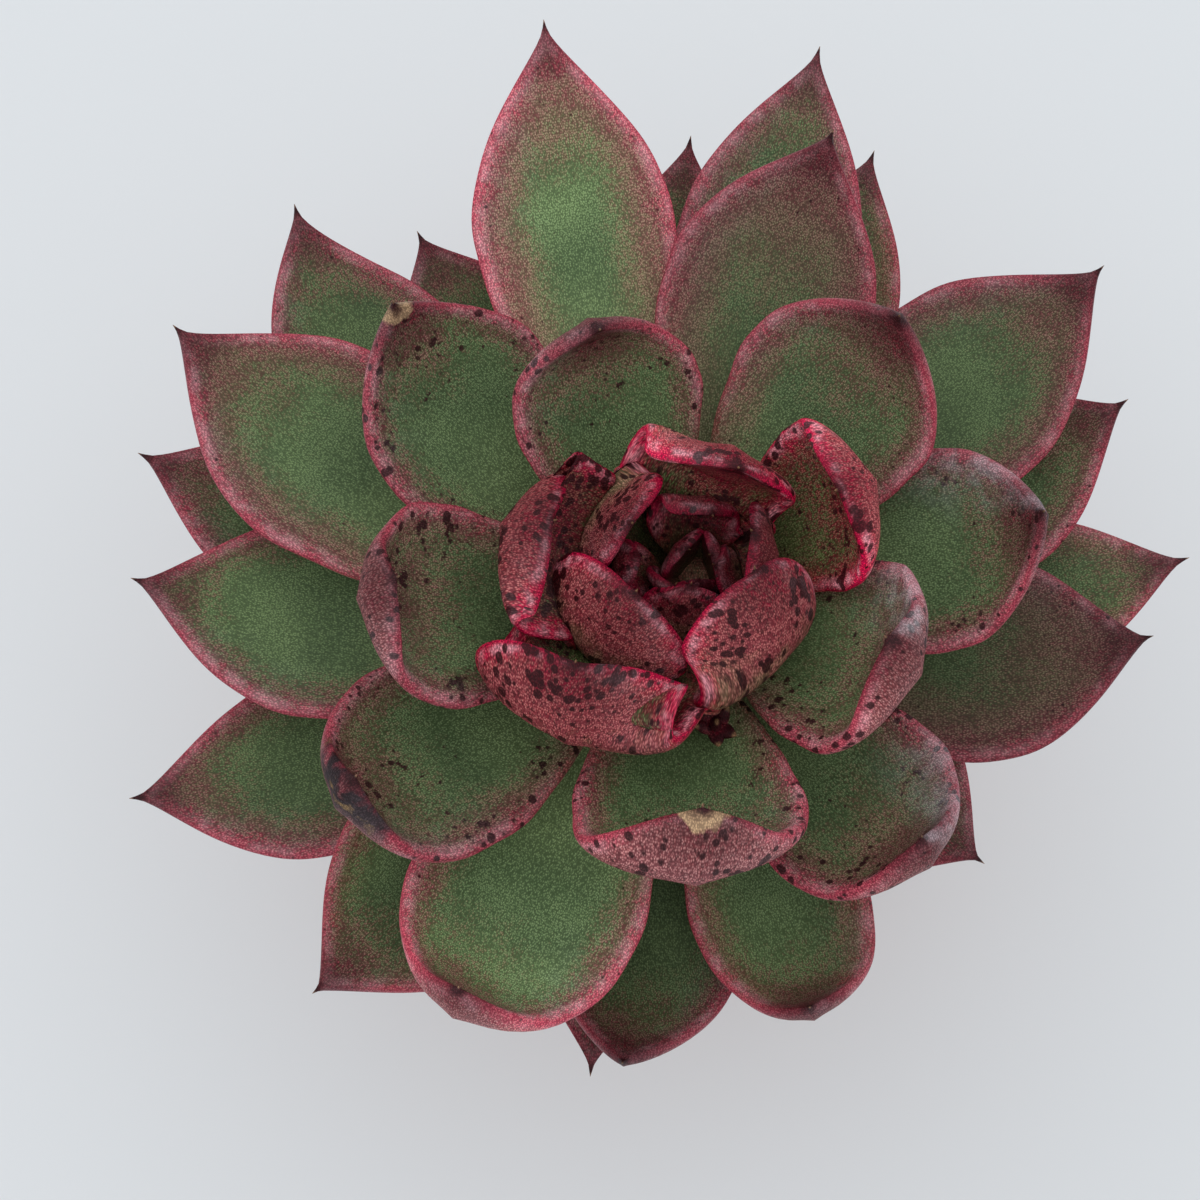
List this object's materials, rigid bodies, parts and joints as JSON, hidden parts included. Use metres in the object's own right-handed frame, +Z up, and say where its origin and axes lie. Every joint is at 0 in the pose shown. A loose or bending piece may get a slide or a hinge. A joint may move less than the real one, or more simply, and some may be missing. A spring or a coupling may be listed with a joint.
{
  "type": "potted bloody mary echeveria",
  "caption": "Potted echeveria: a spiral rosette of thick green leaves with crimson edges and dark tips on a short stem, in gritty soil in a plain clay pot.",
  "frame": {"origin": "middle of the pot's foot, on the surface that it stands on, under the middle of the part's box", "axes": "+Z up. +Y is the side of the rosette that is at the top of the picture, +X the side at its right"},
  "size_m": [0.1096, 0.107, 0.1029],
  "materials": {
    "terracotta": "matte",
    "soil": "matte",
    "stem": "matte",
    "leaf": "satin",
    "young_leaf": "satin"
  },
  "bodies": {
    "root": {"pot": "terracotta", "soil": "soil", "stem": "stem", "heart": "young_leaf", "offset": "young_leaf", "leaf_13": "leaf", "leaf_14": "leaf", "leaf_15": "leaf", "leaf_16": "leaf", "leaf_17": "leaf", "leaf_18": "leaf", "leaf_19": "leaf", "leaf_20": "leaf", "leaf_21": "leaf", "leaf_22": "leaf", "leaf_23": "leaf", "leaf_24": "leaf", "leaf_25": "leaf", "leaf_26": "leaf", "leaf_27": "leaf", "leaf_28": "leaf", "leaf_29": "leaf", "leaf_30": "leaf", "leaf_31": "leaf", "leaf_32": "leaf", "leaf_33": "leaf", "leaf_34": "leaf", "leaf_35": "leaf", "leaf_36": "leaf", "leaf_37": "leaf", "leaf_38": "leaf", "leaf_39": "leaf", "leaf_40": "leaf", "leaf_41": "leaf", "leaf_42": "leaf", "leaf_43": "leaf", "leaf_44": "leaf", "leaf_45": "leaf", "leaf_46": "leaf", "leaf_51": "leaf"}
  },
  "joints": []
}
